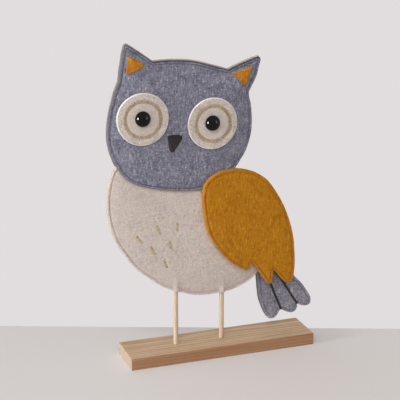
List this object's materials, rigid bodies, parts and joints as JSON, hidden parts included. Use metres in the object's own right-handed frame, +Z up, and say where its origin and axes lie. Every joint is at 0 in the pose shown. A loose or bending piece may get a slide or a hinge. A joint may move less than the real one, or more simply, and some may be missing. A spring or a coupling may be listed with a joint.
{
  "type": "felt owl figure",
  "caption": "Flat stuffed felt owl with round bead eyes, one folded wing and a feathered tail, standing on two dowels in a wooden block.",
  "frame": {"origin": "middle of the wooden block's underside", "axes": "+Z up; +X along the block, to the viewer's right when the owl's face is seen; the owl looks towards -Y"},
  "size_m": [0.2242, 0.046, 0.3258],
  "materials": {
    "grey_felt": "mottled wool felt, matt",
    "cream_felt": "mottled oatmeal felt, matt",
    "mustard_felt": "wool felt, matt",
    "charcoal_felt": "felt and cord, matt",
    "seam_thread": "sewing thread sunk in a seam",
    "wing_thread": "sewing thread sunk in a seam",
    "khaki_thread": "satin-stitched embroidery thread",
    "wadding": "polyester wadding",
    "block_wood": "sanded, unvarnished, grain along the block",
    "dowel_wood": "sanded birch dowel",
    "black_plastic": "polished dome",
    "pale_plastic": "moulded washer"
  },
  "bodies": {
    "root": {"base_block": "block_wood", "leg_dowel_left": "dowel_wood", "leg_dowel_right": "dowel_wood", "body_front_felt": "cream_felt", "body_back_felt": "cream_felt", "body_filling": "wadding", "body_seam_thread_left": "seam_thread", "body_seam_thread_middle": "seam_thread", "body_seam_thread_right": "seam_thread", "belly_stitch_1": "khaki_thread", "belly_stitch_2": "khaki_thread", "belly_stitch_3": "khaki_thread", "belly_stitch_4": "khaki_thread", "belly_stitch_5": "khaki_thread", "belly_stitch_6": "khaki_thread", "head_front_felt": "grey_felt", "head_back_felt": "grey_felt", "head_filling": "wadding", "head_seam_thread": "seam_thread", "ear_patch_left": "mustard_felt", "ear_patch_right": "mustard_felt", "eye_disc_left": "cream_felt", "eye_disc_right": "cream_felt", "eye_ring_left": "khaki_thread", "eye_ring_right": "khaki_thread", "eye_bead_left": "black_plastic", "eye_bead_right": "black_plastic", "eye_washer_left": "pale_plastic", "eye_washer_right": "pale_plastic", "beak": "charcoal_felt", "wing_back_felt": "mustard_felt", "wing_front_felt": "mustard_felt", "wing_seam_thread": "wing_thread", "tail_front_felt": "grey_felt", "tail_back_felt": "grey_felt", "tail_seam_thread": "seam_thread", "tail_line_inner": "charcoal_felt", "tail_line_outer": "charcoal_felt"}
  },
  "joints": []
}
